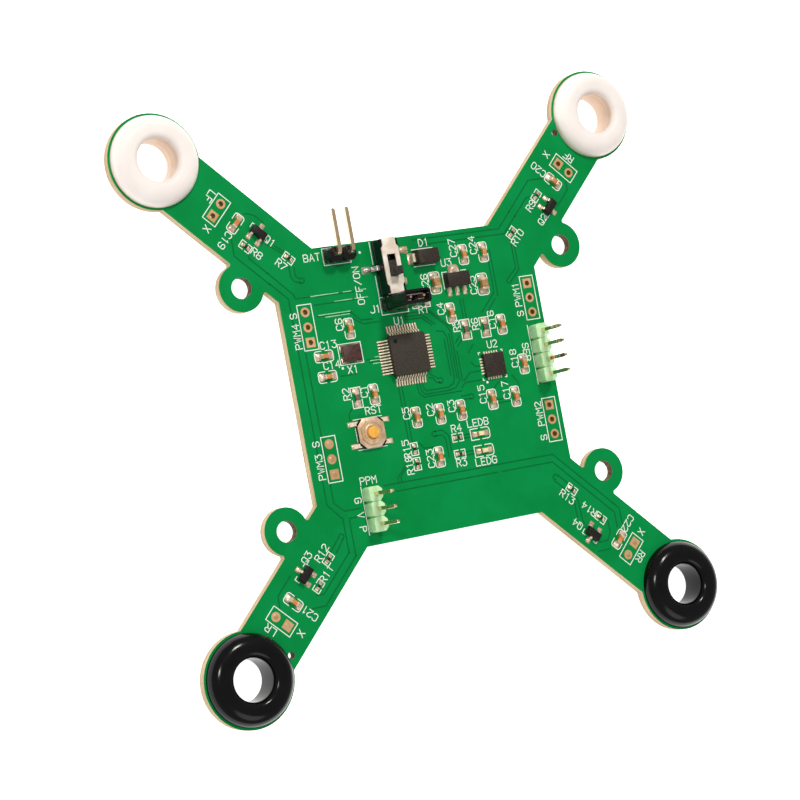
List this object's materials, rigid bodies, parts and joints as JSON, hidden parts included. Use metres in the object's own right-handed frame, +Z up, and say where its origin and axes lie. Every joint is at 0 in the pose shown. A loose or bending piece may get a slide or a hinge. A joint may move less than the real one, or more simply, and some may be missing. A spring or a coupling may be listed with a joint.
{
  "type": "quadcopter frame board with motor speed controllers",
  "caption": "X-shaped circuit board frame with a built-in speed controller on each arm, rubber motor grommets, pin headers, a slide switch, a reset button and a lift-off jumper.",
  "frame": {"origin": "under the board's centre, on the surface that the grommets stand on", "axes": "+Z up out of the side with the parts, +Y forward to the battery pins, +X right"},
  "size_m": [0.1008, 0.1008, 0.0127],
  "materials": {
    "board": "glossy solder mask over copper",
    "copper_pads": "tinned copper, satin",
    "solder": "bright solder",
    "white_rubber": "satin",
    "black_rubber": "smooth, glossy",
    "chip_plastic": "moulded epoxy, matte",
    "leads": "tinned, satin",
    "ceramic": "matte ceramic",
    "crystal_lid": "dark metal lid",
    "switch_plastic": "glossy",
    "switch_metal": "stamped sheet, satin",
    "knob_plastic": "matte",
    "contacts": "plated",
    "button_metal": "stamped sheet, satin",
    "button_plastic": "amber, satin",
    "black_plastic": "moulded",
    "green_plastic": "pale green, slightly translucent",
    "pins": "plated",
    "capacitor_ceramic": "fired ceramic",
    "large_capacitor_ceramic": "fired ceramic",
    "resistor_coating": "glass coating",
    "led_base": "matte",
    "led_lens": "clear resin over a pale base"
  },
  "bodies": {
    "board": {"circuit_board": "board", "plated_holes": "copper_pads", "header_solder": "solder", "pad_solder": "solder", "grommet_front_left": "white_rubber", "grommet_front_right": "white_rubber", "grommet_rear_left": "black_rubber", "grommet_rear_right": "black_rubber", "processor_body": "chip_plastic", "processor_leads": "leads", "motion_sensor_body": "chip_plastic", "motion_sensor_terminals": "leads", "crystal_base": "ceramic", "crystal_lid": "crystal_lid", "regulator_body": "chip_plastic", "regulator_leads": "leads", "diode_body": "chip_plastic", "diode_terminals": "leads", "switch_base": "switch_plastic", "switch_cover": "switch_metal", "switch_terminals": "leads", "switch_contacts": "contacts", "reset_base": "chip_plastic", "reset_cover": "button_metal", "reset_leads": "leads", "reset_dome": "leads", "battery_header_housing": "black_plastic", "battery_header_pins": "pins", "serial_header_housing": "green_plastic", "serial_header_pins": "pins", "receiver_header_housing": "green_plastic", "receiver_header_pins": "pins", "jumper_header_housing": "black_plastic", "jumper_header_pins": "pins", "transistor_front_left_body": "chip_plastic", "transistor_front_left_leads": "leads", "transistor_front_right_body": "chip_plastic", "transistor_front_right_leads": "leads", "transistor_rear_left_body": "chip_plastic", "transistor_rear_left_leads": "leads", "transistor_rear_right_body": "chip_plastic", "transistor_rear_right_leads": "leads", "small_capacitor_bodies": "capacitor_ceramic", "small_capacitor_ends": "solder", "large_capacitor_bodies": "large_capacitor_ceramic", "large_capacitor_ends": "solder", "large_resistor_bodies": "resistor_coating", "large_resistor_ends": "solder", "small_resistor_bodies": "resistor_coating", "small_resistor_ends": "solder", "led_bases": "led_base", "led_terminals": "contacts", "led_lenses": "led_lens"},
    "power_knob": {"switch_knob": "knob_plastic", "switch_wiper": "contacts"},
    "reset_button": {"reset_plunger": "button_plastic"},
    "jumper": {"jumper_cap": "black_plastic", "jumper_clip": "contacts"}
  },
  "joints": [
    {"name": "power_slide", "type": "slide", "parent": "board", "child": "power_knob", "axis": [0, 1, 0], "range_m": [0, 0.0022]},
    {"name": "reset_press", "type": "slide", "parent": "board", "child": "reset_button", "axis": [0, 0, -1], "range_m": [0, 0.00025], "stiffness_N_per_m": 4000, "deforming": ["reset_dome"]},
    {"name": "jumper_lift", "type": "slide", "parent": "board", "child": "jumper", "axis": [0, 0, 1], "range_m": [0, 0.006]}
  ]
}
